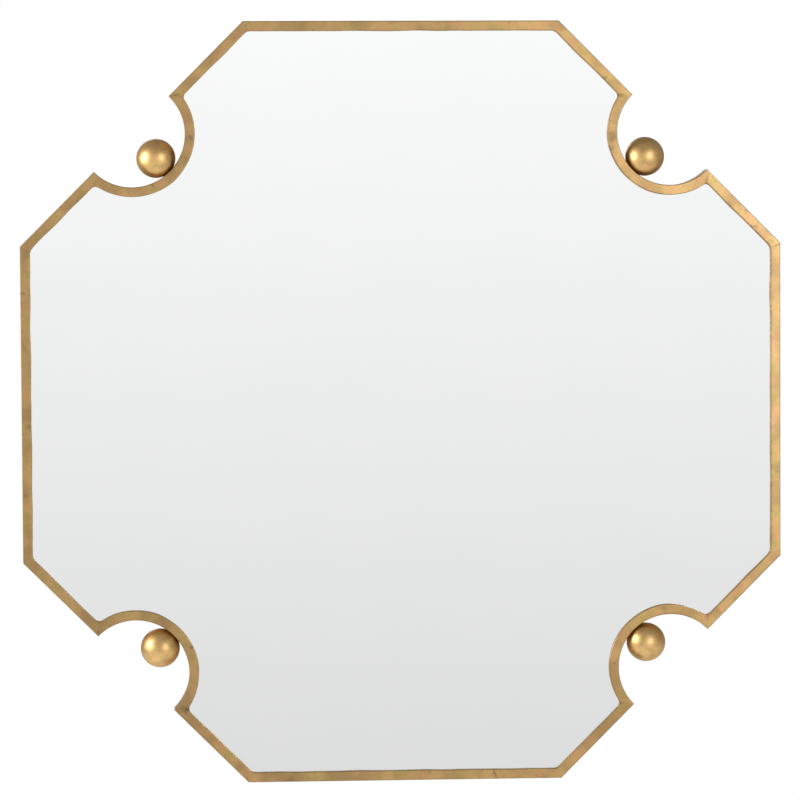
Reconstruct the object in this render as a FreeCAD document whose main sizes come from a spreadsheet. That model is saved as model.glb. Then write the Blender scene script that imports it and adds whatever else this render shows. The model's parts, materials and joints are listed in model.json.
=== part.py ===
import FreeCAD, Part
import math
import os
import re

import Sketcher

# Octagonal wall mirror: a gilded iron frame with a ball in the scallop of each diagonal side.
# The glass faces -Y, +Z is up, and the origin is on the wall behind the middle of the glass.
# Every piece is drawn as if it sat on the top side of the octagon and is then turned about Y.
# Depths are measured backwards from the front plane of the frame.

# Driving dimensions, in millimetres
SIZES = {
    "across_flats": 990.6,
    "face_width": 12.7,
    "lip_thickness": 4.76,
    "band_thickness": 3.18,
    "band_depth": 25.4,
    "inner_corner_radius": 6.0,
    "edge_round": 1.2,
    "notch_radius": 69.0,
    "ball_diameter": 50.8,
    "ball_wall": 3.2,
    "ball_seat": 0.6,
    "dowel_diameter": 6.0,
    "dowel_clearance": 0.05,
    "dowel_tail": 1.5,
    "dowel_lead": 4.0,
    "glass_thickness": 5.0,
    "glass_gap": 4.0,
    "panel_thickness": 9.0,
    "wall_gap": 12.0,
    "button_offset": 80.0,
    "button_inset": 16.5,
    "button_overhang": 3.5,
    "button_tail": 12.0,
    "button_width": 12.7,
    "button_thickness": 1.6,
    "button_tab_height": 5.0,
    "pivot_diameter": 4.0,
    "pivot_clearance": 0.05,
    "pivot_head_diameter": 8.0,
    "pivot_head_height": 2.4,
    "pivot_bite": 7.0,
    "keeper_length": 18.0,
    "keeper_reach": 3.2,
    "keeper_thickness": 4.0,
    "keeper_clearance": 0.3,
    "hanger_spacing": 304.8,
    "hanger_width": 44.0,
    "hanger_height": 36.0,
    "hanger_thickness": 2.5,
    "hanger_corner_radius": 8.0,
    "keyhole_drop": 22.0,
    "keyhole_diameter": 12.0,
    "keyhole_slot_width": 5.5,
    "keyhole_slot_rise": 11.0,
    "bumper_side_inset": 215.0,
    "bumper_end_inset": 285.0,
    "bumper_diameter": 26.0,
    "bumper_rim_round": 2.0,
    "bumper_bore_diameter": 11.0,
    "bumper_floor": 6.0,
    "bumper_screw_diameter": 4.5,
    "bumper_screw_clearance": 0.05,
    "bumper_head_diameter": 9.0,
    "bumper_head_height": 3.0,
    "bumper_screw_bite": 7.0,
}

# The octagon's mitre angle, and the slope of a bumper's side, in degrees
MITRE_ANGLE = 22.5
BUMPER_TAPER_ANGLE = -4.0

# Places worked out from the driving dimensions. Corner and tip places are those of the top side:
# x along the side from its middle, z up from the middle of the glass.
FORMULAS = {
    "half_width": "across_flats / 2",
    "half_side": f"half_width * tan({MITRE_ANGLE})",
    "frame_depth": "lip_thickness + band_depth",
    "front_plane": "-(frame_depth + wall_gap)",
    "corner_depth": "face_width + inner_corner_radius",
    "corner_centre_x": f"half_side - corner_depth * tan({MITRE_ANGLE})",
    "corner_centre_z": "half_width - corner_depth",
    "mitre_length": f"corner_depth / cos({MITRE_ANGLE}) - inner_corner_radius",
    "mitre_x": f"half_side - mitre_length * sin({MITRE_ANGLE})",
    "mitre_z": f"half_width - mitre_length * cos({MITRE_ANGLE})",
    "lip_inner_z": "half_width - face_width",
    "band_inner_z": "half_width - band_thickness",
    "band_corner_x": f"half_side - band_thickness * tan({MITRE_ANGLE})",
    "scallop_radius": "notch_radius + face_width",
    "join_radius": "scallop_radius + inner_corner_radius",
    "tip_centre_x": "sqrt(join_radius ^ 2 - corner_depth ^ 2)",
    "tip_run": "sqrt((tip_centre_x - notch_radius) ^ 2 + corner_depth ^ 2)",
    "tip_mitre_x": "tip_centre_x - inner_corner_radius * (tip_centre_x - notch_radius) / tip_run",
    "tip_mitre_z": "corner_centre_z + inner_corner_radius * corner_depth / tip_run",
    "join_x": "tip_centre_x * scallop_radius / join_radius",
    "join_z": "half_width - corner_depth * scallop_radius / join_radius",
    "band_tip_x": "sqrt((notch_radius + band_thickness) ^ 2 - band_thickness ^ 2)",
    "ball_radius": "ball_diameter / 2",
    "ball_inner_radius": "ball_radius - ball_wall",
    "ball_depth": "frame_depth / 2",
    "ball_z": "half_width - notch_radius + ball_radius - ball_seat",
    "dowel_radius": "dowel_diameter / 2",
    "dowel_hole_radius": "dowel_radius + dowel_clearance",
    "saddle_z": "half_width - sqrt(notch_radius ^ 2 - ball_radius ^ 2)",
    "glass_z": "band_inner_z - glass_gap",
    "glass_x": f"glass_z * tan({MITRE_ANGLE})",
    "glass_notch_radius": "notch_radius + band_thickness + glass_gap",
    "glass_back": "lip_thickness + glass_thickness",
    "panel_back": "glass_back + panel_thickness",
    "button_half": "button_width / 2",
    "button_back": "panel_back + button_thickness",
    "button_z": "glass_z - button_inset",
    "nose_z": "glass_z + button_overhang - button_half",
    "tail_z": "button_z - button_tail + button_half",
    "pivot_hole_radius": "pivot_diameter / 2 + pivot_clearance",
    "keeper_front": "button_back + keeper_clearance",
    "hanger_front": "frame_depth - hanger_thickness",
    "keyhole_z": "band_inner_z - keyhole_drop",
    "keyhole_radius": "keyhole_diameter / 2",
    "slot_half": "keyhole_slot_width / 2",
    "slot_foot_z": "keyhole_z + sqrt(keyhole_radius ^ 2 - slot_half ^ 2)",
    "slot_end_z": "keyhole_z + keyhole_slot_rise",
    "bumper_x": "half_width - bumper_side_inset",
    "bumper_z": "half_width - bumper_end_inset",
    "bumper_height": "frame_depth + wall_gap - panel_back",
    "bumper_hole_radius": "bumper_screw_diameter / 2 + bumper_screw_clearance",
}

# Angles about Y that carry the top side to the other sides of the octagon, clockwise as seen from the front,
# with the words for the two ends of each side, first and last in that direction
LONG_SIDES = {
    "top": (0, "left", "right"),
    "right": (90, "upper", "lower"),
    "bottom": (180, "right", "left"),
    "left": (270, "lower", "upper"),
}
DIAGONALS = {
    "top_right": (45, "upper", "lower"),
    "bottom_right": (135, "upper", "lower"),
    "bottom_left": (225, "lower", "upper"),
    "top_left": (315, "lower", "upper"),
}
QUARTER_TURNS = 4

SAME_PLACE = 1e-6

doc = FreeCAD.newDocument("OctagonalWallMirror")
sheet = doc.addObject("Spreadsheet::Sheet", "Sizes")
cells = {name: str(size) for name, size in SIZES.items()}
cells |= {name: "=" + formula for name, formula in FORMULAS.items()}
for row, (name, text) in enumerate(cells.items(), 1):
    sheet.set(f"A{row}", name)
    sheet.set(f"B{row}", text)
    sheet.setAlias(f"B{row}", name)
doc.recompute()

sub_parts = []


def bound(text):
    """The expression with each name of the sheet written as a reference to it."""
    return re.sub("[a-z_]+", lambda word: "Sizes." + word[0] if word[0] in cells else word[0], text)


def value(text):
    return float(sheet.evalExpression(text))


def origin_feature(body, role):
    return next(item for item in body.Origin.OriginFeatures if item.Role == role)


def new_body(label, angle=0):
    """A piece on the front plane of the frame, turned about Y to its side of the octagon."""
    body = doc.addObject("PartDesign::Body", label)
    body.Label = label
    body.Placement = FreeCAD.Placement(FreeCAD.Vector(), FreeCAD.Rotation(FreeCAD.Vector(0, 1, 0), angle))
    body.setExpression("Placement.Base.y", bound("front_plane"))
    return body


def new_sketch(body, name, depth="0", plane="XZ_Plane"):
    """A sketch seen from the front, at a depth behind the front plane."""
    sketch = body.newObject("Sketcher::SketchObject", name)
    sketch.AttachmentSupport = [(origin_feature(body, plane), "")]
    sketch.MapMode = "FlatFace"
    sketch.setExpression("AttachmentOffset.Base.z", bound(f"-({depth})"))
    return sketch


def hold(sketch, kind, edge, point, text):
    """Ties one coordinate of a point of the sketch to the sheet."""
    index = sketch.addConstraint(Sketcher.Constraint(kind, edge, point, value(text)))
    sketch.setExpression(f"Constraints[{index}]", bound(text))


def draw_outline(sketch, corners, arcs=None):
    """A closed outline. The edge that leaves a corner listed in arcs is an arc: its centre and +1 for anticlockwise."""
    arcs = arcs or {}
    points = [FreeCAD.Vector(value(x), value(z), 0) for x, z in corners]
    starts = []
    ends = []
    for index, start in enumerate(points):
        end = points[(index + 1) % len(points)]
        if index in arcs:
            x, z, turn = arcs[index]
            centre = FreeCAD.Vector(value(x), value(z), 0)
            first, last = (start, end) if turn > 0 else (end, start)
            angles = [math.atan2(point.y - centre.y, point.x - centre.x) for point in (first, last)]
            circle = Part.Circle(centre, FreeCAD.Vector(0, 0, 1), first.distanceToPoint(centre))
            edge = sketch.addGeometry(Part.ArcOfCircle(circle, *angles))
            starts.append((edge, 1 if turn > 0 else 2))
            ends.append((edge, 2 if turn > 0 else 1))
        else:
            edge = sketch.addGeometry(Part.LineSegment(start, end))
            starts.append((edge, 1))
            ends.append((edge, 2))
    for index, end in enumerate(ends):
        sketch.addConstraint(Sketcher.Constraint("Coincident", *end, *starts[(index + 1) % len(points)]))
    for start, (x, z) in zip(starts, corners):
        hold(sketch, "DistanceX", *start, x)
        hold(sketch, "DistanceY", *start, z)
    for index, (x, z, turn) in arcs.items():
        chord = points[(index + 1) % len(points)] - points[index]
        flat = abs(chord.x) > abs(chord.y)
        hold(sketch, "DistanceY" if flat else "DistanceX", starts[index][0], 3, z if flat else x)


def draw_circle(sketch, x, z, radius):
    circle = Part.Circle(FreeCAD.Vector(value(x), value(z), 0), FreeCAD.Vector(0, 0, 1), value(radius))
    edge = sketch.addGeometry(circle)
    hold(sketch, "DistanceX", edge, 3, x)
    hold(sketch, "DistanceY", edge, 3, z)
    index = sketch.addConstraint(Sketcher.Constraint("Radius", edge, value(radius)))
    sketch.setExpression(f"Constraints[{index}]", bound(radius))


def pad(body, sketch, name, length):
    """Solid from the sketch backwards."""
    feature = body.newObject("PartDesign::Pad", name)
    feature.Profile = sketch
    feature.Reversed = True
    feature.setExpression("Length", bound(length))
    return feature


def cut_through(body, sketch, name):
    feature = body.newObject("PartDesign::Pocket", name)
    feature.Profile = sketch
    feature.SideType = "Symmetric"
    feature.Type = "ThroughAll"
    return feature


def cut_forwards(body, sketch, name, length):
    """Recess from the sketch towards the front."""
    feature = body.newObject("PartDesign::Pocket", name)
    feature.Profile = sketch
    feature.Reversed = True
    feature.setExpression("Length", bound(length))
    return feature


def four_times(body, feature, name):
    """The feature repeated on the other three sides of the octagon."""
    pattern = body.newObject("PartDesign::PolarPattern", name)
    pattern.Originals = [feature]
    pattern.Axis = (origin_feature(body, "Y_Axis"), [""])
    pattern.Angle = 360
    pattern.Occurrences = QUARTER_TURNS
    body.Tip = pattern
    return pattern


def spin(body, sketch, name):
    """Solid of revolution about the sketch's upright axis."""
    feature = body.newObject("PartDesign::Revolution", name)
    feature.Profile = sketch
    feature.ReferenceAxis = (sketch, ["V_Axis"])
    feature.Angle = 360
    return feature


def round_edges(body, name, radius, chosen):
    """Rounds the edges of the body so far that pass the test."""
    doc.recompute()
    base = body.Tip
    names = [f"Edge{number}" for number, edge in enumerate(base.Shape.Edges, 1) if chosen(edge)]
    feature = body.newObject("PartDesign::Fillet", name)
    feature.Base = (base, names)
    feature.setExpression("Radius", bound(radius))


def on_front_plane(edge):
    return all(abs(vertex.Point.y) < SAME_PLACE for vertex in edge.Vertexes)


def runs_along_bar(edge):
    """True of a front edge that follows the bar: level or curved, where a mitre slopes."""
    first, last = edge.Vertexes[0].Point, edge.Vertexes[-1].Point
    return on_front_plane(edge) and (edge.Curve.TypeId == "Part::GeomCircle" or abs(first.z - last.z) < SAME_PLACE)


def gather(label, bodies):
    """Like pieces that share one node."""
    group = doc.addObject("Part::Compound", label)
    group.Label = label
    group.Links = bodies
    sub_parts.append(group)


def flipped(places):
    """The places of the other half of the top side, in the opposite order round the outline."""
    return [("-" + x if x != "0" else x, z) for x, z in reversed(places)]


# Frame bars: an L section, with a face lip in front and a deep band behind its outer edge

def frame_bar(label, angle, lip, lip_arcs, band, band_arcs=None):
    body = new_body(label, angle)
    lip_sketch = new_sketch(body, label + "_lip_outline")
    draw_outline(lip_sketch, lip, lip_arcs)
    pad(body, lip_sketch, label + "_lip", "lip_thickness")
    band_sketch = new_sketch(body, label + "_band_outline", "lip_thickness")
    draw_outline(band_sketch, band, band_arcs)
    pad(body, band_sketch, label + "_band", "band_depth")
    round_edges(body, label + "_front_edges", "edge_round", runs_along_bar)
    sub_parts.append(body)
    return body


corner = ("half_side", "half_width")
corner_end = [corner, ("mitre_x", "mitre_z"), ("corner_centre_x", "lip_inner_z")]
band_corner_end = [corner, ("band_corner_x", "band_inner_z")]
tip = ("notch_radius", "half_width")

for side, (angle, *ends) in LONG_SIDES.items():
    frame_bar(
        side + "_bar",
        angle,
        corner_end + flipped(corner_end),
        {1: ("corner_centre_x", "corner_centre_z", 1), 3: ("-corner_centre_x", "corner_centre_z", 1)},
        band_corner_end + flipped(band_corner_end),
    )

short_lip = [tip] + corner_end + [("tip_centre_x", "lip_inner_z"), ("tip_mitre_x", "tip_mitre_z")]
short_band = [tip] + band_corner_end + [("band_tip_x", "band_inner_z")]
short_arcs = {2: ("corner_centre_x", "corner_centre_z", 1), 4: ("tip_centre_x", "corner_centre_z", 1)}
flipped_arcs = {0: ("-tip_centre_x", "corner_centre_z", 1), 2: ("-corner_centre_x", "corner_centre_z", 1)}

scallop_lip = [("-notch_radius", "half_width"), tip, ("tip_mitre_x", "tip_mitre_z"), ("join_x", "join_z")]
scallop_lip += [("-join_x", "join_z"), ("-tip_mitre_x", "tip_mitre_z")]
scallop_arcs = {
    0: ("0", "half_width", 1),
    2: ("tip_centre_x", "corner_centre_z", 1),
    3: ("0", "half_width", -1),
    4: ("-tip_centre_x", "corner_centre_z", 1),
}
scallop_band = [("-notch_radius", "half_width"), tip, ("band_tip_x", "band_inner_z"), ("-band_tip_x", "band_inner_z")]
scallop_band_arcs = {0: ("0", "half_width", 1), 2: ("0", "half_width", -1)}

for place, (angle, first_end, last_end) in DIAGONALS.items():
    frame_bar(f"{place}_{first_end}_bar", angle, flipped(short_lip), flipped_arcs, flipped(short_band))
    frame_bar(f"{place}_{last_end}_bar", angle, short_lip, short_arcs, short_band)
    scallop = frame_bar(f"{place}_scallop", angle, scallop_lip, scallop_arcs, scallop_band, scallop_band_arcs)
    hole = new_sketch(scallop, f"{place}_dowel_hole_outline", "0", "XY_Plane")
    draw_circle(hole, "0", "ball_depth", "dowel_hole_radius")
    cut_through(scallop, hole, f"{place}_dowel_hole")


# Balls: hollow, each seated on its scallop and drilled for the dowel that holds it

def ball(label, angle):
    body = new_body(label, angle)
    shell = new_sketch(body, label + "_shell_outline", "ball_depth")
    outer_foot = "ball_z - sqrt(ball_radius ^ 2 - dowel_hole_radius ^ 2)"
    inner_foot = "ball_z - sqrt(ball_inner_radius ^ 2 - dowel_hole_radius ^ 2)"
    draw_outline(
        shell,
        [
            ("0", "ball_z + ball_inner_radius"),
            ("dowel_hole_radius", inner_foot),
            ("dowel_hole_radius", outer_foot),
            ("0", "ball_z + ball_radius"),
        ],
        {0: ("0", "ball_z", -1), 2: ("0", "ball_z", 1)},
    )
    spin(body, shell, label + "_shell")
    saddle = new_sketch(body, label + "_saddle_outline", "ball_depth")
    below = "half_width - notch_radius - ball_radius"
    draw_outline(
        saddle,
        [("-ball_radius", "saddle_z"), ("ball_radius", "saddle_z"), ("ball_radius", below), ("-ball_radius", below)],
        {0: ("0", "half_width", 1)},
    )
    cut_through(body, saddle, label + "_saddle")
    sub_parts.append(body)


def dowel(label, angle):
    body = new_body(label, angle)
    half = new_sketch(body, label + "_outline", "ball_depth")
    top = "ball_z - ball_inner_radius + dowel_lead"
    foot = "half_width - notch_radius - band_thickness - dowel_tail"
    draw_outline(half, [("0", foot), ("dowel_radius", foot), ("dowel_radius", top), ("0", top)])
    spin(body, half, label + "_pin")
    return body


for place, (angle, *ends) in DIAGONALS.items():
    ball(place + "_ball", angle)
gather("ball_dowels", [dowel(place + "_dowel", angle) for place, (angle, *ends) in DIAGONALS.items()])


# Glass and backing panel: octagons a gap inside the band, notched round the scallops

def sheet_body(label, depth, thickness):
    body = new_body(label)
    plate = new_sketch(body, label + "_outline", depth)
    quarter = [("glass_x", "glass_z"), ("glass_z", "glass_x"), ("glass_z", "-glass_x"), ("glass_x", "-glass_z")]
    half = [("-" + x, z[1:] if z.startswith("-") else "-" + z) for x, z in quarter]
    draw_outline(plate, quarter + half)
    pad(body, plate, label + "_plate", thickness)
    notch = new_sketch(body, label + "_notch_outline", depth)
    draw_circle(notch, "half_width * cos(45)", "half_width * sin(45)", "glass_notch_radius")
    four_times(body, cut_through(body, notch, label + "_notch"), label + "_notches")
    sub_parts.append(body)
    return body


sheet_body("mirror_glass", "lip_thickness", "glass_thickness")
panel = sheet_body("backing_panel", "glass_back", "panel_thickness")
pilots = new_sketch(panel, "pivot_pilot_outline", "panel_back")
draw_circle(pilots, "button_offset", "button_z", "pivot_hole_radius")
draw_circle(pilots, "-button_offset", "button_z", "pivot_hole_radius")
four_times(panel, cut_forwards(panel, pilots, "pivot_pilots", "pivot_bite"), "pivot_pilots_around")
bumper_places = {
    "top_right": ("bumper_x", "bumper_z"),
    "bottom_right": ("bumper_x", "-bumper_z"),
    "bottom_left": ("-bumper_x", "-bumper_z"),
    "top_left": ("-bumper_x", "bumper_z"),
}
bumper_pilots = new_sketch(panel, "bumper_pilot_outline", "panel_back")
for x, z in bumper_places.values():
    draw_circle(bumper_pilots, x, z, "bumper_hole_radius")
cut_forwards(panel, bumper_pilots, "bumper_pilots", "bumper_screw_bite")


# Turn buttons: steel strips on the panel whose noses turn under the keeper lugs of the frame

def turn_button(label, angle, x):
    body = new_body(label, angle)
    strip = new_sketch(body, label + "_outline", "panel_back")
    right = f"{x} + button_half"
    left = f"{x} - button_half"
    draw_outline(
        strip,
        [(right, "tail_z"), (right, "nose_z"), (left, "nose_z"), (left, "tail_z")],
        {1: (x, "nose_z", 1), 3: (x, "tail_z", 1)},
    )
    draw_circle(strip, x, "button_z", "pivot_hole_radius")
    pad(body, strip, label + "_strip", "button_thickness")
    tab = new_sketch(body, label + "_tab_outline", "button_back")
    tab_top = "tail_z + button_thickness"
    draw_outline(tab, [(left, "tail_z"), (right, "tail_z"), (right, tab_top), (left, tab_top)])
    pad(body, tab, label + "_tab", "button_tab_height")
    sub_parts.append(body)


def pivot_screw(label, angle, x):
    body = new_body(label, angle)
    shank = new_sketch(body, label + "_shank_outline", "panel_back - pivot_bite")
    draw_circle(shank, x, "button_z", "pivot_diameter / 2")
    pad(body, shank, label + "_shank", "pivot_bite + button_thickness + pivot_clearance")
    head = new_sketch(body, label + "_head_outline", "button_back + pivot_clearance")
    draw_circle(head, x, "button_z", "pivot_head_diameter / 2")
    pad(body, head, label + "_head", "pivot_head_height")
    return body


def keeper_lug(label, angle, x):
    body = new_body(label, angle)
    block = new_sketch(body, label + "_outline", "keeper_front")
    right = f"{x} + keeper_length / 2"
    left = f"{x} - keeper_length / 2"
    foot = "band_inner_z - keeper_reach"
    draw_outline(block, [(left, foot), (right, foot), (right, "band_inner_z"), (left, "band_inner_z")])
    pad(body, block, label + "_block", "keeper_thickness")
    return body


button_places = [
    (f"{side}_{end}", angle, sign + "button_offset")
    for side, (angle, *ends) in LONG_SIDES.items()
    for end, sign in zip(ends, ("-", ""))
]
for place, angle, x in button_places:
    turn_button(f"turn_button_{place}", angle, x)
gather("pivot_screws", [pivot_screw(f"{place}_pivot", angle, x) for place, angle, x in button_places])
gather("keeper_lugs", [keeper_lug(f"{place}_keeper", angle, x) for place, angle, x in button_places])


# Hanger plates: welded inside the top bar, flush with the back of the frame, each with a keyhole

def hanger(label, x):
    body = new_body(label)
    plate = new_sketch(body, label + "_outline", "hanger_front")
    right, left = f"{x} + hanger_width / 2", f"{x} - hanger_width / 2"
    round_right, round_left = f"{right} - hanger_corner_radius", f"{left} + hanger_corner_radius"
    foot = "band_inner_z - hanger_height"
    round_z = f"{foot} + hanger_corner_radius"
    draw_outline(
        plate,
        [
            (left, "band_inner_z"),
            (left, round_z),
            (round_left, foot),
            (round_right, foot),
            (right, round_z),
            (right, "band_inner_z"),
        ],
        {1: (round_left, round_z, 1), 3: (round_right, round_z, 1)},
    )
    pad(body, plate, label + "_plate", "hanger_thickness")
    keyhole = new_sketch(body, label + "_keyhole_outline", "hanger_front")
    slot_right, slot_left = f"{x} + slot_half", f"{x} - slot_half"
    draw_outline(
        keyhole,
        [
            (slot_right, "slot_foot_z"),
            (slot_right, "slot_end_z"),
            (slot_left, "slot_end_z"),
            (slot_left, "slot_foot_z"),
        ],
        {1: (x, "slot_end_z", 1), 3: (x, "keyhole_z", 1)},
    )
    cut_through(body, keyhole, label + "_keyhole")
    sub_parts.append(body)


hanger("hanger_left", "-hanger_spacing / 2")
hanger("hanger_right", "hanger_spacing / 2")


# Rubber bumpers: tapered feet screwed to the panel, bored so that the screw heads lie deep inside

def bumper(label, x, z):
    body = new_body(label)
    foot = new_sketch(body, label + "_outline", "panel_back")
    draw_circle(foot, x, z, "bumper_diameter / 2")
    pad(body, foot, label + "_foot", "bumper_height").TaperAngle = BUMPER_TAPER_ANGLE
    wall_face = value("frame_depth + wall_gap")
    round_edges(
        body,
        label + "_rim",
        "bumper_rim_round",
        lambda edge: edge.Closed and abs(edge.Vertexes[0].Point.y - wall_face) < SAME_PLACE,
    )
    bore = new_sketch(body, label + "_bore_outline", "frame_depth + wall_gap")
    draw_circle(bore, x, z, "bumper_bore_diameter / 2")
    cut_forwards(body, bore, label + "_bore", "bumper_height - bumper_floor")
    hole = new_sketch(body, label + "_hole_outline", "panel_back")
    draw_circle(hole, x, z, "bumper_hole_radius")
    cut_through(body, hole, label + "_hole")
    sub_parts.append(body)


def bumper_screw(label, x, z):
    body = new_body(label)
    shank = new_sketch(body, label + "_shank_outline", "panel_back - bumper_screw_bite")
    draw_circle(shank, x, z, "bumper_screw_diameter / 2")
    pad(body, shank, label + "_shank", "bumper_screw_bite + bumper_floor")
    head = new_sketch(body, label + "_head_outline", "panel_back + bumper_floor")
    draw_circle(head, x, z, "bumper_head_diameter / 2")
    pad(body, head, label + "_head", "bumper_head_height")
    return body


for place, (x, z) in bumper_places.items():
    bumper(f"bumper_{place}", x, z)
gather("bumper_screws", [bumper_screw(f"{place}_screw", x, z) for place, (x, z) in bumper_places.items()])

doc.recompute()
for item in doc.Objects:
    if any(word in item.State for word in ("Invalid", "Error")):
        raise RuntimeError(f"{item.Label} did not build: {item.State}")
for item in sub_parts:
    if item.Shape.isNull() or not item.Shape.isValid() or not item.Shape.Solids:
        raise RuntimeError(f"{item.Label} is not a sound solid")

os.makedirs("parts", exist_ok=True)
for item in sub_parts:
    item.Shape.exportStep(f"parts/{item.Label}.step")
    print(f"{item.Label}: {len(item.Shape.Solids)} solid, {item.Shape.Volume:.0f} mm3")
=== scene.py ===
import json
import math

import bmesh
import bpy
import numpy as np
from mathutils import Euler, Matrix, Vector, noise


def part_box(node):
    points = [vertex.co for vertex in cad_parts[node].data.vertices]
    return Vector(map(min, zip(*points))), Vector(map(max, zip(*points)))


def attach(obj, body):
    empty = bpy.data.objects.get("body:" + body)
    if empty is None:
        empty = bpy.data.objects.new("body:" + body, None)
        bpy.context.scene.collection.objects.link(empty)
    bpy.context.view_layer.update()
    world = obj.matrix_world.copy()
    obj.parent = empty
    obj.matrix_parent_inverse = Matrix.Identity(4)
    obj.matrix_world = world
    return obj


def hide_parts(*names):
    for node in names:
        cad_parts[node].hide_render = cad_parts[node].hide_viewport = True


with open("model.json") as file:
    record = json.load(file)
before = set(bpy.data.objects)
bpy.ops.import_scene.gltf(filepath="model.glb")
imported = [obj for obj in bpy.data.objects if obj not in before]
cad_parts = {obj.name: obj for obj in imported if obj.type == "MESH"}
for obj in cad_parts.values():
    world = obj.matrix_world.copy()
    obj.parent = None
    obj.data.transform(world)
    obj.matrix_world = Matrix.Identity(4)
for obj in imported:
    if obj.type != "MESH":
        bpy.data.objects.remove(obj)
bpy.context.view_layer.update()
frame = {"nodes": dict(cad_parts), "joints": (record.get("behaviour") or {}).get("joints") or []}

nodes = frame["nodes"]

# Frame bars: four long and eight short lengths of L-section iron, a face lip before a deep band.
# They are mitred at the corners of the octagon, welded and ground flush, then gilded outside with
# overlapping leaves that are rubbed back and toned brown. The inside keeps its black primer.

# Lengths are in metres, and rubbing with painted shade is a share from 0 to 1
top_low, top_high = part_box("top_bar")
half_side, half_width = top_high.x, top_high.z
front, back = top_low.y, top_high.y
face_width = 0.0127
lip_thickness = 0.00476
band_thickness = 0.00318
inner_corner = 0.01
tip_corner = 0.006
wear_reach = 0.003
front_round = 0.0012
flat_margin = 0.0005
outer_wear_and_shade, inner_wear_and_shade = 1, 0.5
lip_wear, side_back_wear, back_wear = 0.6, 0.5, 0.8
face_shares = (0.35, 0.65)
back_chamfer = 0.0004
notch_radius = 0.069
station_gap = 0.004
waver = 0.0011
waver_length = 0.04
unevenness = 0.00012
unevenness_length = 0.03
leaf_width = 0.085
leaf_creep = 0.02
pocket_reach = 0.004
mitre = 22.5
sharp_angle = math.radians(35)


class Tone:
    """A value or colour over a surface: a socket of a shader, on which sums add Math nodes."""

    def __init__(self, tree, socket=None):
        self.tree = tree
        self.socket = socket

    def set(self, node, inputs):
        """Sets sockets of a node, by name or place, to plain values or to other tones."""
        for name, given in inputs.items():
            if isinstance(given, Tone):
                self.tree.links.new(given.socket, node.inputs[name])
            else:
                node.inputs[name].default_value = given

    def node(self, kind, settings, inputs, output=0):
        """A new node, its settings made before its sockets, seen through one of its outputs."""
        made = self.tree.nodes.new(kind)
        for name, setting in settings.items():
            setattr(made, name, setting)
        self.set(made, inputs)
        return Tone(self.tree, made.outputs[output])

    def sum(self, operation, *terms):
        """A Math node on the given terms."""
        return self.node("ShaderNodeMath", {"operation": operation}, dict(enumerate(terms)))

    def __add__(self, other):
        return self.sum("ADD", self, other)

    def __sub__(self, other):
        return self.sum("SUBTRACT", self, other)

    def __rsub__(self, other):
        return self.sum("SUBTRACT", other, self)

    def __mul__(self, other):
        return self.sum("MULTIPLY", self, other)

    def __truediv__(self, other):
        return self.sum("DIVIDE", self, other)

    __radd__ = __add__
    __rmul__ = __mul__

    def mix(self, first, second):
        """The first colour where this tone is 0, the second where it is 1."""
        return self.node("ShaderNodeMix", {"data_type": "RGBA"}, {0: self, 6: first, 7: second}, 2)

    def rise(self, low, high):
        """0 where this tone is below low, 1 where it is above high, and a soft slope between."""
        ends = {"Value": self, "From Min": low, "From Max": high}
        return self.node("ShaderNodeMapRange", {"interpolation_type": "SMOOTHSTEP"}, ends)

    def clouds(self, scale, detail=3.0):
        """Noise over these places, between 0 and 1, in patches of about 1 / scale metres."""
        inputs = {"Vector": self, "Scale": scale, "Detail": detail}
        return self.node("ShaderNodeTexNoise", {}, inputs)

    def bump(self, strength, distance):
        """The normal of a surface whose height is this tone."""
        inputs = {"Strength": strength, "Distance": distance, "Height": self}
        return self.node("ShaderNodeBump", {}, inputs)


def new_finish(name):
    """A material to fill in, its surface shader, and the places on the piece in metres."""
    material = bpy.data.materials.new(name)
    material.use_nodes = True
    surface = material.node_tree.nodes["Principled BSDF"]
    places = Tone(material.node_tree).node("ShaderNodeTexCoord", {}, {}, "Object")
    return material, surface, places


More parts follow.
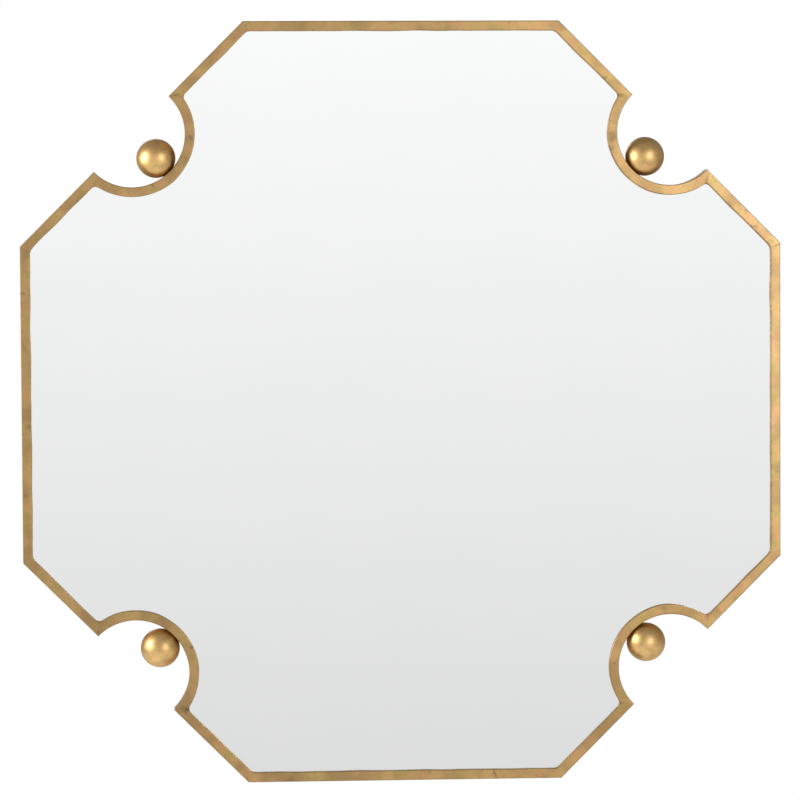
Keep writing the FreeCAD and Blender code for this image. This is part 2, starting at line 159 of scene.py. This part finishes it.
def gold_leaf():
    """Antique leaf on a flat bar: squares with dark overlaps, cloudy toning, and rubbed edges browned
    partly as painted shade.
    """
    material, surface, places = new_finish("gold_leaf")
    clouds = places.clouds(34, 5.0)
    warmth = places.clouds(62, 4.0)
    grain = places.clouds(420, 2.0)
    run = places.node("ShaderNodeAttribute", {"attribute_name": "leaf_run"}, {}, "Fac")
    wear_and_shade = places.node("ShaderNodeAttribute", {"attribute_name": "wear_and_shade"}, {}, "Fac")
    laid = run + (warmth - 0.5) * leaf_creep
    leaf = laid.sum("FLOOR", laid / leaf_width)
    one_way = {"noise_dimensions": "1D"}
    leaf_tone = places.node("ShaderNodeTexWhiteNoise", one_way, {"W": leaf}, "Value")
    overlap = 1 - laid.sum("PINGPONG", laid, leaf_width / 2).rise(0.0005, 0.003)
    overlap = overlap * places.clouds(90).rise(0.5, 0.62)
    stain = places.clouds(36, 5.0).rise(0.6, 0.76)
    gold = (0.565, 0.346, 0.108, 1)
    rose = (0.6, 0.314, 0.115, 1)
    olive = (0.465, 0.328, 0.073, 1)
    deep = (0.33, 0.187, 0.05, 1)
    brown = (0.1, 0.055, 0.02, 1)
    colour = warmth.rise(0.52, 0.66).mix(gold, rose)
    colour = (1 - warmth.rise(0.34, 0.46)).mix(colour, olive)
    colour = (clouds.rise(0.37, 0.66) * 0.58 + leaf_tone * 0.24).mix(colour, deep)
    # Brown over stains, leaf overlaps and grain is the leaf's own; over the rubbed edges and the tip
    # corners it is partly painted shade.
    colour = (stain * 0.4 + overlap * 0.5 + wear_and_shade * 0.3 + (grain - 0.5) * 0.28).mix(colour, brown)
    roughness = 0.41 + (grain - 0.5) * 0.1 + stain * 0.1 + wear_and_shade * 0.35
    height = clouds * 0.8 + grain * 0.08 + overlap * 0.12
    looks = {
        "Base Color": colour,
        "Metallic": 1.0,
        "Roughness": roughness,
        "Coat Weight": 1 - wear_and_shade * 0.85,
        "Coat Roughness": 0.3,
        "Coat IOR": 1.62,
        "Normal": height.bump(0.22, 0.0012),
    }
    places.set(surface, looks)
    return material


def black_primer():
    """Brushed-on black primer over iron, with thin places and a few specks of rust."""
    material, surface, places = new_finish("black_primer")
    strokes = places.clouds(140, 5.0)
    thin = places.clouds(24, 5.0).rise(0.54, 0.72)
    rust = places.clouds(330, 2.0).rise(0.66, 0.74)
    black = (0.012, 0.0115, 0.011, 1)
    grey = (0.06, 0.056, 0.052, 1)
    red_brown = (0.12, 0.045, 0.017, 1)
    colour = (strokes.rise(0.3, 0.7) * 0.45 + thin * 0.55).mix(black, grey)
    colour = (rust * 0.75).mix(colour, red_brown)
    looks = {
        "Base Color": colour,
        "Roughness": 0.5 + strokes * 0.3,
        "Normal": (strokes + rust * 0.5).bump(0.6, 0.0007),
    }
    places.set(surface, looks)
    return material


gilt = gold_leaf()
primer = black_primer()


def arc(centre, radius, start, end, steps=12):
    """Points on a circle, as x and z, from one bearing to another in degrees."""
    bearings = np.radians(np.linspace(start, end, steps + 1))
    across, upward = radius * np.cos(bearings), radius * np.sin(bearings)
    return np.stack([centre[0] + across, centre[1] + upward], axis=1)


def even_points(path, count):
    """A count of points at even steps along a path of short straight runs, and its length."""
    runs = np.linalg.norm(np.diff(path, axis=0), axis=1)
    along = np.concatenate([[0], np.cumsum(runs)])
    steps = np.linspace(0, along[-1], count)
    return np.stack([np.interp(steps, along, path[:, axis]) for axis in (0, 1)], axis=1), along[-1]


def quarter_round(line, sign, turns, rub_and_shade):
    """The rounded front edge on one side of a bar's section, rubbed and darkened with painted shade
    most in its middle.
    """
    points = []
    for turn in turns:
        shift = sign * front_round * (1 - math.cos(turn))
        depth = front_round * (1 - math.sin(turn))
        points.append((line, shift, depth, rub_and_shade * math.sin(2 * turn), 0))
    return points


# Points of a bar's section: the line that each keeps to, its shift across the bar, its depth behind
# the face, the rubbing of the gilding there (partly painted shade on the front edges), and the finish
# of the face that follows, gilt 0 or primer 1
quarter_turns = [math.radians(turn) for turn in (0, 22.5, 45, 67.5, 90)]
frame_depth = back - front
section = [("outer", 0, front_round + wear_reach, 0, 0)]
section += quarter_round("outer", 1, quarter_turns, outer_wear_and_shade)
section += [("outer", front_round + flat_margin, 0, 0, 0)]
section += [("outer", face_width * share, 0, 0, 0) for share in face_shares]
section += [("inner", -front_round - flat_margin, 0, 0, 0)]
section += quarter_round("inner", -1, quarter_turns[::-1], inner_wear_and_shade)
section += [("inner", 0, lip_thickness - back_chamfer, side_back_wear, 0)]
section += [("inner", -back_chamfer, lip_thickness, lip_wear, 1)]
section += [("band", 0, lip_thickness, 0, 1)]
section += [("band", 0, frame_depth - back_chamfer, side_back_wear, 0)]
section += [("band", -back_chamfer, frame_depth, back_wear, 0)]
section += [("outer", back_chamfer, frame_depth, back_wear, 0)]
section += [("outer", 0, frame_depth - back_chamfer, side_back_wear, 0)]


def add_piece(name, mesh, *finishes):
    """Adds a finished bmesh to the scene as one piece."""
    data = bpy.data.meshes.new(name)
    mesh.to_mesh(data)
    mesh.free()
    data.shade_smooth()
    data.set_sharp_from_angle(angle=sharp_angle)
    for finish in finishes:
        data.materials.append(finish)
    piece = bpy.data.objects.new(name, data)
    bpy.context.scene.collection.objects.link(piece)
    return piece


# The tip where a short bar meets its scallop: painted shade darkens the gilding in its inner corner
scallop_radius = notch_radius + face_width
tip_depth = face_width + tip_corner
tip_centre = (math.sqrt((scallop_radius + tip_corner) ** 2 - tip_depth**2), half_width - tip_depth)
tip_bearing = math.degrees(math.atan2(tip_depth, notch_radius - tip_centre[0]))
tip_pocket = Vector(arc(tip_centre, tip_corner, tip_bearing, tip_bearing)[0])


def gilded_bar(node, angle, outer, inner, band):
    """A length of the frame, drawn on the top side and turned to its own, with a wavering lip."""
    count = max(3, round(even_points(inner, 2)[1] / station_gap)) + 1
    turn = Matrix.Rotation(math.radians(angle), 3, "Y")
    lines = {"outer": even_points(outer, count)[0], "band": even_points(band, count)[0]}
    lines["inner"], length = even_points(inner, count)
    across = lines["inner"] - lines["outer"]
    across /= np.linalg.norm(across, axis=1)[:, None]
    mesh = bmesh.new()
    wear_and_shade_layer = mesh.verts.layers.float.new("wear_and_shade")
    run_layer = mesh.verts.layers.float.new("leaf_run")
    rings = []
    for station in range(count):
        edge_x, edge_z = lines["inner"][station]
        edge = turn @ Vector((edge_x, 0, edge_z))
        sway = waver * noise.noise(edge / waver_length)
        ring = []
        for line, shift, depth, wear_and_shade, _ in section:
            moved = shift + sway if line == "inner" else shift
            x, z = lines[line][station] + across[station] * moved
            place = turn @ Vector((x, 0, z))
            dip = unevenness * noise.noise(place / unevenness_length) if depth < front_round else 0
            place.y = front + depth + dip
            vertex = mesh.verts.new(place)
            # Painted shade: the gilding turns brown towards the inner corner of the tip.
            tip_distance = (Vector((abs(x), z)) - tip_pocket).length
            vertex[wear_and_shade_layer] = max(wear_and_shade, 1 - tip_distance / pocket_reach)
            vertex[run_layer] = length * station / (count - 1) + angle * leaf_width
            ring.append(vertex)
        rings.append(ring)
    for ring, following in zip(rings, rings[1:]):
        for spot, point in enumerate(section):
            beside = (spot + 1) % len(section)
            face = mesh.faces.new((ring[spot], following[spot], following[beside], ring[beside]))
            face.material_index = point[-1]
    mesh.faces.new(rings[0])
    mesh.faces.new(rings[-1])
    bmesh.ops.recalc_face_normals(mesh, faces=mesh.faces)
    piece = add_piece("gilded_" + node, mesh, gilt, primer)
    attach(piece, "mirror")
    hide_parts(node)


def mirrored(path):
    """A path on the other half of the top side."""
    return path[::-1] * (-1, 1)


corner_depth = face_width + inner_corner
mitre_slope = math.tan(math.radians(mitre))
corner_centre = (half_side - corner_depth * mitre_slope, half_width - corner_depth)
corner_arc = arc(corner_centre, inner_corner, 90, 90 - mitre)
band_top = half_width - band_thickness
band_corner = np.array([[half_side - band_thickness * mitre_slope, band_top]])
outer_corner = np.array([[half_side, half_width]])
long_bar = (
    np.concatenate([mirrored(outer_corner), outer_corner]),
    np.concatenate([mirrored(corner_arc), corner_arc]),
    np.concatenate([mirrored(band_corner), band_corner]),
)
for node, angle in {"top_bar": 0, "right_bar": 90, "bottom_bar": 180, "left_bar": 270}.items():
    gilded_bar(node, angle, *long_bar)

join_bearing = math.degrees(math.atan2(tip_depth, -tip_centre[0]))
band_radius = notch_radius + band_thickness
tip = np.array([[notch_radius, half_width]])
band_tip = np.array([[math.sqrt(band_radius**2 - band_thickness**2), band_top]])
short_bar = (
    np.concatenate([tip, outer_corner]),
    np.concatenate([arc(tip_centre, tip_corner, tip_bearing, 90), corner_arc]),
    np.concatenate([band_tip, band_corner]),
)
diagonals = {
    "top_right": (45, "upper", "lower"),
    "bottom_right": (135, "upper", "lower"),
    "bottom_left": (225, "lower", "upper"),
    "top_left": (315, "lower", "upper"),
}
for place, (angle, first_end, last_end) in diagonals.items():
    gilded_bar(f"{place}_{first_end}_bar", angle, *[mirrored(path) for path in short_bar])
    gilded_bar(f"{place}_{last_end}_bar", angle, *short_bar)

# Scallops: the half-round notch in each diagonal side, the same L section rolled on its edge.
# Each is welded between two short bars and gilded with them, so the leaf runs on over the joints.

notch_centre = (0, half_width)
notch_steps = 72
band_join = math.degrees(math.asin(band_thickness / band_radius))
tip_arc = arc(tip_centre, tip_corner, join_bearing, tip_bearing)
lip_arc = arc(notch_centre, scallop_radius, 360 - join_bearing, 180 + join_bearing, notch_steps)
scallop = (
    arc(notch_centre, notch_radius, 180, 360, notch_steps),
    np.concatenate([mirrored(tip_arc), lip_arc, tip_arc]),
    arc(notch_centre, band_radius, 180 + band_join, 360 - band_join, notch_steps),
)
for place, (angle, *_) in diagonals.items():
    gilded_bar(place + "_scallop", angle, *scallop)

# Keeper lugs and hanger plates: offcuts of flat iron welded inside the band before priming.
# The lugs hold down the turn buttons; the keyholes of the plates drop over two wall screws.

iron_edge = 0.0004
edge_segments = 2
join_reach = 0.00001
flat_angle = math.radians(0.3)
flat_weight = 100


def dress(node, finish, edge):
    """Gives a node its finish and, once its split faces are joined, slightly broken edges."""
    piece = nodes[node]
    piece.data.materials.clear()
    piece.data.materials.append(finish)
    join = piece.modifiers.new("joined_faces", "WELD")
    join.merge_threshold = join_reach
    flat = piece.modifiers.new("whole_faces", "DECIMATE")
    flat.decimate_type = "DISSOLVE"
    flat.angle_limit = flat_angle
    bevel = piece.modifiers.new("broken_edges", "BEVEL")
    bevel.width = edge
    bevel.segments = edge_segments
    bevel.limit_method = "ANGLE"
    bevel.angle_limit = sharp_angle
    bevel.loop_slide = False
    bevel.use_clamp_overlap = False
    piece.modifiers.new("flat_faces", "WEIGHTED_NORMAL").weight = flat_weight


for node in ("keeper_lugs", "hanger_left", "hanger_right"):
    dress(node, primer, iron_edge)

bead_radius = 0.0018
bead_step = 0.0005
bead_ripple = 0.0019
bead_dip, bead_crest = 0.82, 0.18
bead_end, bead_fullness = 0.08, 4
bead_sides = 10
lug_length = 0.018
lug_place = 0.08
stitch_length = 0.013
stitch_place = 0.013
beads = bmesh.new()


def weld_bead(angle, middle, height, length):
    """A rippled bead inside the band, half sunk in the joint, on the side at that angle."""
    turn = Matrix.Rotation(math.radians(angle), 3, "Y")
    count = round(length / bead_step)
    bearings = [2 * math.pi * side / bead_sides for side in range(bead_sides)]
    rings = []
    for station in range(count + 1):
        along = length * (station / count - 0.5)
        taper = math.sqrt(max(bead_end, 1 - (2 * along / length) ** bead_fullness))
        ripple = abs(math.sin(math.pi * along / bead_ripple))
        radius = bead_radius * taper * (bead_dip + bead_crest * ripple)
        ring = []
        for bearing in bearings:
            y, z = height + radius * math.sin(bearing), band_top + radius * math.cos(bearing)
            ring.append(beads.verts.new(turn @ Vector((middle + along, y, z))))
        rings.append(ring)
    for ring, following in zip(rings, rings[1:]):
        for side in range(bead_sides):
            beside = (side + 1) % bead_sides
            beads.faces.new((ring[side], following[side], following[beside], ring[beside]))
    beads.faces.new(rings[0])
    beads.faces.new(rings[-1])


lug_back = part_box("keeper_lugs")[1].y
for angle in (0, 90, 180, 270):
    for middle in (-lug_place, lug_place):
        weld_bead(angle, middle, lug_back, lug_length)
for hanger in ("hanger_left", "hanger_right"):
    low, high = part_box(hanger)
    for side in (-stitch_place, stitch_place):
        weld_bead(0, (low.x + high.x) / 2 + side, low.y, stitch_length)
bmesh.ops.recalc_face_normals(beads, faces=beads.faces)
weld_beads = add_piece("weld_beads", beads, primer)
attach(weld_beads, "mirror")

# Balls: hollow steel balls with a ground saddle, pinned to the scallops by plain steel dowels.
# They are gilded like the frame, but the leaf is burnished on the round and shines more softly.

ball_clearance = 0.00002
ball_facets = 6


def burnished_leaf():
    """Gold leaf worked over a ball: clouds of warmer and darker gold, finely marked."""
    material, surface, places = new_finish("burnished_leaf")
    clouds = places.clouds(85, 5.0)
    warmth = places.clouds(120, 4.0)
    grain = places.clouds(700, 2.0)
    gold = (0.79, 0.55, 0.185, 1)
    rose = (0.83, 0.49, 0.185, 1)
    deep = (0.34, 0.2, 0.065, 1)
    rim_brown = (0.28, 0.16, 0.06, 1)
    colour = warmth.rise(0.35, 0.65).mix(gold, rose)
    colour = (clouds.rise(0.42, 0.7) * 0.42 + (grain - 0.5) * 0.2).mix(colour, deep)
    looks = {
        "Base Color": colour,
        "Metallic": 1.0,
        "Roughness": 0.47 + (grain - 0.5) * 0.12 + (clouds - 0.5) * 0.1,
        "Specular Tint": rim_brown,
        "Coat Weight": 0.85,
        "Coat Roughness": 0.35,
        "Coat IOR": 1.6,
        "Normal": (clouds * 0.6 + grain * 0.2).bump(0.18, 0.0008),
    }
    places.set(surface, looks)
    return material


def bare_steel():
    """Drawn steel rod, dulled, with fine lines and a little tarnish."""
    material, surface, places = new_finish("bare_steel")
    tarnish = places.clouds(160, 4.0)
    bright = (0.42, 0.41, 0.39, 1)
    dull = (0.2, 0.18, 0.16, 1)
    looks = {
        "Base Color": tarnish.rise(0.4, 0.7).mix(bright, dull),
        "Metallic": 1.0,
        "Roughness": 0.3 + tarnish * 0.25,
        "Normal": places.clouds(900, 2.0).bump(0.2, 0.0002),
    }
    places.set(surface, looks)
    return material


ball_gilt = burnished_leaf()
for place, (angle, *_) in diagonals.items():
    low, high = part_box(place + "_ball")
    centre = (low + high) / 2
    turn = Matrix.Rotation(math.radians(angle), 3, "Y")
    notch_axis = turn @ Vector((0, 0, half_width))
    mesh = bmesh.new()
    bmesh.ops.create_icosphere(mesh, subdivisions=ball_facets, radius=(high.x - low.x) / 2)
    for vertex in mesh.verts:
        vertex.co += centre
        reach = vertex.co - notch_axis
        reach.y = 0
        over = reach.length - (notch_radius - ball_clearance)
        if over > 0:
            vertex.co -= reach.normalized() * over
    piece = add_piece(f"gilded_{place}_ball", mesh, ball_gilt)
    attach(piece, "mirror")
    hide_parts(place + "_ball")
dowel_edge = 0.0003
dress("ball_dowels", bare_steel(), dowel_edge)

# Mirror glass: one sheet of silvered float glass, cut to the octagon and its notches, with seamed
# edges. It is laid into the frame from behind, against the back of the lip.


def silvered_glass():
    """Silvering seen through clear glass in front, grey backing paint behind and at the edges."""
    material, surface, places = new_finish("silvered_glass")
    facing = places.node("ShaderNodeNewGeometry", {}, {}, "Normal")
    forward = places.node("ShaderNodeSeparateXYZ", {}, {0: facing}, "Y")
    mirror = 1 - forward.rise(-0.9, -0.6)
    film = places.clouds(9, 2.0)
    dust = places.clouds(800, 2.0).rise(0.62, 0.8)
    dark_grey, mid_grey = (0.09, 0.1, 0.1, 1), (0.14, 0.15, 0.145, 1)
    cool_silver, clear_silver = (0.925, 0.935, 0.932, 1), (0.945, 0.95, 0.948, 1)
    paint = places.clouds(200, 3.0).mix(dark_grey, mid_grey)
    silver = film.mix(cool_silver, clear_silver)
    looks = {
        "Base Color": mirror.mix(paint, silver),
        "Metallic": mirror,
        "Roughness": 0.5 - mirror * 0.5 + dust * mirror * 0.01,
        "Normal": film.bump(0.004, 0.001),
    }
    places.set(surface, looks)
    return material


glass_edge = 0.0005
dress("mirror_glass", silvered_glass(), glass_edge)

# Backing panel: fibreboard painted black, sawn to the outline of the glass and laid in behind it.
# Blind pilot holes take the screws of the turn buttons and of the bumpers.


def painted_board():
    """Thin black paint rolled on fibreboard: a fine stipple, thin places and dusty scuffs."""
    material, surface, places = new_finish("painted_board")
    stipple = places.clouds(520, 3.0)
    cover = places.clouds(11, 5.0)
    scuff = places.clouds(65, 6.0).rise(0.63, 0.72) * cover.rise(0.45, 0.65)
    black = (0.02, 0.019, 0.018, 1)
    brown_black = (0.034, 0.031, 0.028, 1)
    dust_brown = (0.12, 0.104, 0.086, 1)
    colour = cover.rise(0.35, 0.7).mix(black, brown_black)
    colour = (scuff * 0.5 + (stipple - 0.5) * 0.5).mix(colour, dust_brown)
    looks = {
        "Base Color": colour,
        "Roughness": 0.62 + stipple * 0.2,
        "Normal": stipple.bump(0.4, 0.0005),
    }
    places.set(surface, looks)
    return material


board_edge = 0.0006
dress("backing_panel", painted_board(), board_edge)

# Turn buttons: zinc-plated steel strips with a bent-up finger tab, which swing on one screw each.
# Turned outwards, their noses go under the keeper lugs and hold panel and glass in the frame.

pressed_edge = 0.0003


def zinc_plate():
    """Zinc plating: pale grey, mottled with crystals, faintly yellowed and finely scratched."""
    material, surface, places = new_finish("zinc_plate")
    crystals = places.node("ShaderNodeTexVoronoi", {}, {"Vector": places, "Scale": 650.0}, "Color")
    mottle = places.node("ShaderNodeSeparateColor", {}, {0: crystals}, 0)
    tint = places.clouds(60, 4.0)
    scratch = places.clouds(1500, 1.0)
    pale_grey = (0.56, 0.57, 0.58, 1)
    yellowed = (0.6, 0.56, 0.46, 1)
    dark_grey = (0.36, 0.37, 0.38, 1)
    colour = tint.rise(0.4, 0.65).mix(pale_grey, yellowed)
    colour = (mottle * 0.35).mix(colour, dark_grey)
    looks = {
        "Base Color": colour,
        "Metallic": 1.0,
        "Roughness": 0.3 + mottle * 0.14 + scratch * 0.1,
        "Normal": (mottle * 0.4 + scratch).bump(0.12, 0.0003),
    }
    places.set(surface, looks)
    return material


zinc = zinc_plate()
for node in nodes:
    if node.startswith("turn_button"):
        dress(node, zinc, pressed_edge)

# Pivot screws and bumper screws: pan-head wood screws, zinc plated, with a cross recess.
# A pivot screw is driven just short of tight, so that its button turns stiffly under the head.

screw_sides = 40
shank_share = 0.45
point_length = 0.003
recess_share = 0.56
recess_width_share = 0.2
recess_taper = 0.45
quarter_turn = math.radians(90)
golden_turn = math.radians(137.5)
# A screw head from its seat to its crown, as shares of its radius and height
head_rim = [(0.92, 0), (1, 0.14), (1, 0.3)]
head_dome = [(0.96, 0.52), (0.86, 0.74), (0.68, 0.9), (0.4, 0.98), (0.12, 1)]


def turned(profile):
    """A solid turned round the z axis from radii and heights that start and end on the axis."""
    mesh = bmesh.new()
    first = mesh.verts.new((0, 0, profile[0][1]))
    last = mesh.verts.new((0, 0, profile[-1][1]))
    bearings = [2 * math.pi * side / screw_sides for side in range(screw_sides)]
    rings = []
    for radius, z in profile[1:-1]:
        spots = [(radius * math.cos(b), radius * math.sin(b), z) for b in bearings]
        rings.append([mesh.verts.new(spot) for spot in spots])
    for side in range(screw_sides):
        beside = (side + 1) % screw_sides
        mesh.faces.new((first, rings[0][beside], rings[0][side]))
        mesh.faces.new((last, rings[-1][side], rings[-1][beside]))
        for ring, following in zip(rings, rings[1:]):
            mesh.faces.new((ring[side], ring[beside], following[beside], following[side]))
    return mesh


def cross_bit(reach, width, top, depth):
    """The tapered cross that a driver fits, as the solid to cut from a screw head."""
    mesh = bmesh.new()
    half = width / 2
    arm_spots = ((reach, -half), (reach, half), (half, half))
    outline = []
    for arm in range(4):
        turn = Matrix.Rotation(arm * quarter_turn, 2)
        outline += [turn @ Vector(spot) for spot in arm_spots]
    rings = []
    for height, taper in ((top - depth / 2, recess_taper), (top + depth / 2, 1)):
        rings.append([mesh.verts.new((x * taper, y * taper, height)) for x, y in outline])
    for spot, (lower, upper) in enumerate(zip(*rings)):
        mesh.faces.new((rings[0][spot - 1], lower, upper, rings[1][spot - 1]))
    mesh.faces.new(rings[0])
    mesh.faces.new(rings[1])
    bmesh.ops.recalc_face_normals(mesh, faces=mesh.faces)
    return mesh


def pan_head_screws(node, head_radius, head_height, places):
    """The screws of a node, cut from one pattern and left at different turns by the driver."""
    low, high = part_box(node)
    shank_radius = head_radius * shank_share
    shank_length = high.y - head_height - low.y
    shank = [(0, -shank_length), (shank_radius, point_length - shank_length), (shank_radius, 0)]
    head = [(head_radius * out, head_height * up) for out, up in head_rim + head_dome]
    pattern = add_piece("pattern", turned(shank + head + [(0, head_height)]))
    arm_reach, arm_width = head_radius * recess_share, head_radius * recess_width_share
    bit = add_piece("bit", cross_bit(arm_reach, arm_width, head_height, head_height))
    cut = pattern.modifiers.new("cross_recess", "BOOLEAN")
    cut.object = bit
    recessed = pattern.evaluated_get(bpy.context.evaluated_depsgraph_get())
    pattern_mesh = bpy.data.meshes.new_from_object(recessed)
    upright = Matrix.Rotation(-quarter_turn, 4, "X")
    screws = bmesh.new()
    for number, place in enumerate(places):
        seat = Matrix.Translation((place.x, high.y - head_height, place.z))
        before = len(screws.verts)
        screws.from_mesh(pattern_mesh)
        screws.verts.ensure_lookup_table()
        driven = seat @ upright @ Matrix.Rotation(number * golden_turn, 4, "Z")
        bmesh.ops.transform(screws, matrix=driven, verts=screws.verts[before:])
    bmesh.ops.dissolve_degenerate(screws, edges=screws.edges, dist=join_reach / 10)
    for scrap in (pattern, bit):
        bpy.data.objects.remove(scrap)
    piece = add_piece("pan_head_" + node, screws, zinc)
    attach(piece, "mirror")
    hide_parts(node)


pivot_head_radius, pivot_head_height = 0.004, 0.0024
bumper_head_radius, bumper_head_height = 0.0045, 0.003
pivots = [Vector(joint["pos_m"]) for joint in frame["joints"]]
bumper_middles = [sum(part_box("bumper_" + place), Vector()) / 2 for place in diagonals]
pan_head_screws("pivot_screws", pivot_head_radius, pivot_head_height, pivots)
pan_head_screws("bumper_screws", bumper_head_radius, bumper_head_height, bumper_middles)

# Bumpers: four moulded rubber feet, screwed to the panel through their floors.
# They keep the frame, and the balls that stand out behind it, clear of the wall.


def black_rubber():
    """Moulded black rubber: matt, with a fine bloom and the sheen of handling."""
    material, surface, places = new_finish("black_rubber")
    bloom = places.clouds(130, 4.0)
    pores = places.clouds(1300, 2.0)
    black = (0.013, 0.013, 0.013, 1)
    bloom_grey = (0.04, 0.039, 0.038, 1)
    looks = {
        "Base Color": bloom.rise(0.4, 0.75).mix(black, bloom_grey),
        "Roughness": 0.55 + bloom * 0.25,
        "Normal": pores.bump(0.25, 0.0002),
    }
    places.set(surface, looks)
    return material


rubber = black_rubber()
rubber_edge = 0.0004
for place in diagonals:
    dress("bumper_" + place, rubber, rubber_edge)

# The studio: a plain pale floor well below the mirror, a white surround and three soft boxes: at the
# left, in front on the right, and behind. The glass faces a pale card that darkens downwards.

floor_drop = 1.5
floor_reach = 5.5
floor_mesh = bmesh.new()
bmesh.ops.create_grid(floor_mesh, x_segments=1, y_segments=1, size=floor_reach)
floor_finish, floor_surface, floor_places = new_finish("pale_floor")
floor_tone = floor_places.clouds(3, 2.0)
floor_grey, floor_white = (0.78, 0.78, 0.775, 1), (0.82, 0.82, 0.815, 1)
floor_looks = {
    "Base Color": floor_tone.mix(floor_grey, floor_white),
    "Roughness": 0.7,
    "Emission Color": (1, 1, 1, 1),
    "Emission Strength": 0.35,
}
floor_places.set(floor_surface, floor_looks)
floor = add_piece("floor", floor_mesh, floor_finish)
floor.location.z = -floor_drop

surround = bpy.data.worlds.new("surround")
surround.use_nodes = True
bpy.context.scene.world = surround
glow = surround.node_tree.nodes["Background"]
start = Tone(surround.node_tree)
direction = start.node("ShaderNodeTexCoord", {}, {}, "Generated")
split = {0: direction}
sideways, away, upwards = [start.node("ShaderNodeSeparateXYZ", {}, split, axis) for axis in "XYZ"]
card_across, card_up = 0.055, -0.045
card_half_width, card_half_height, card_fade = 0.27, 0.19, 1.7
off_side = start.sum("ABSOLUTE", sideways - card_across) / card_half_width
off_height = start.sum("ABSOLUTE", upwards - card_up) / card_half_height
off_card = start.sum("MAXIMUM", off_side, off_height).rise(1, card_fade)
card = (1 - off_card) * (1 - away.rise(-0.5, 0))
card_light = 0.94 + 1.12 * upwards
room_light = 0.36 - 0.08 * upwards
light = card * card_light + (1 - card) * room_light
white = start.node("ShaderNodeLightPath", {}, {}, "Is Camera Ray")
start.set(glow, {"Color": (1, 1, 1, 1), "Strength": white + (1 - white) * light})

# Each soft box: its place, its aim, its width and height, and its power in watts
soft_boxes = {
    "right_soft_box": ((1.55, -2.8, 0.55), (0.2, 0, 0.1), (1.0, 1.7), 26.0),
    "left_soft_box": ((-2.25, -0.7, 0.45), (-0.3, 0, 0.1), (1.0, 1.3), 42.0),
    "back_soft_box": ((-0.8, 3.2, 1.4), (0, 0, 0), (1.4, 1.4), 14.0),
}
for name, (place, aim, (width, height), watts) in soft_boxes.items():
    lamp = bpy.data.lights.new(name, "AREA")
    lamp.shape = "RECTANGLE"
    lamp.size = width
    lamp.size_y = height
    lamp.energy = watts
    box = bpy.data.objects.new(name, lamp)
    box.location = place
    box.rotation_euler = (Vector(aim) - Vector(place)).to_track_quat("-Z", "Y").to_euler()
    box.visible_camera = False
    bpy.context.scene.collection.objects.link(box)

camera_place = (-0.23816, -4.29216, 0.18939)
camera_turn = (87.49407, 0.33956, -3.16382)
lens = bpy.data.cameras.new("camera")
lens.lens = 147.1458
lens.sensor_width = 36
camera = bpy.data.objects.new("camera", lens)
camera.location = camera_place
camera.rotation_euler = Euler([math.radians(turn) for turn in camera_turn])
bpy.context.scene.collection.objects.link(camera)
bpy.context.scene.camera = camera
bpy.context.scene.view_settings.view_transform = "Standard"
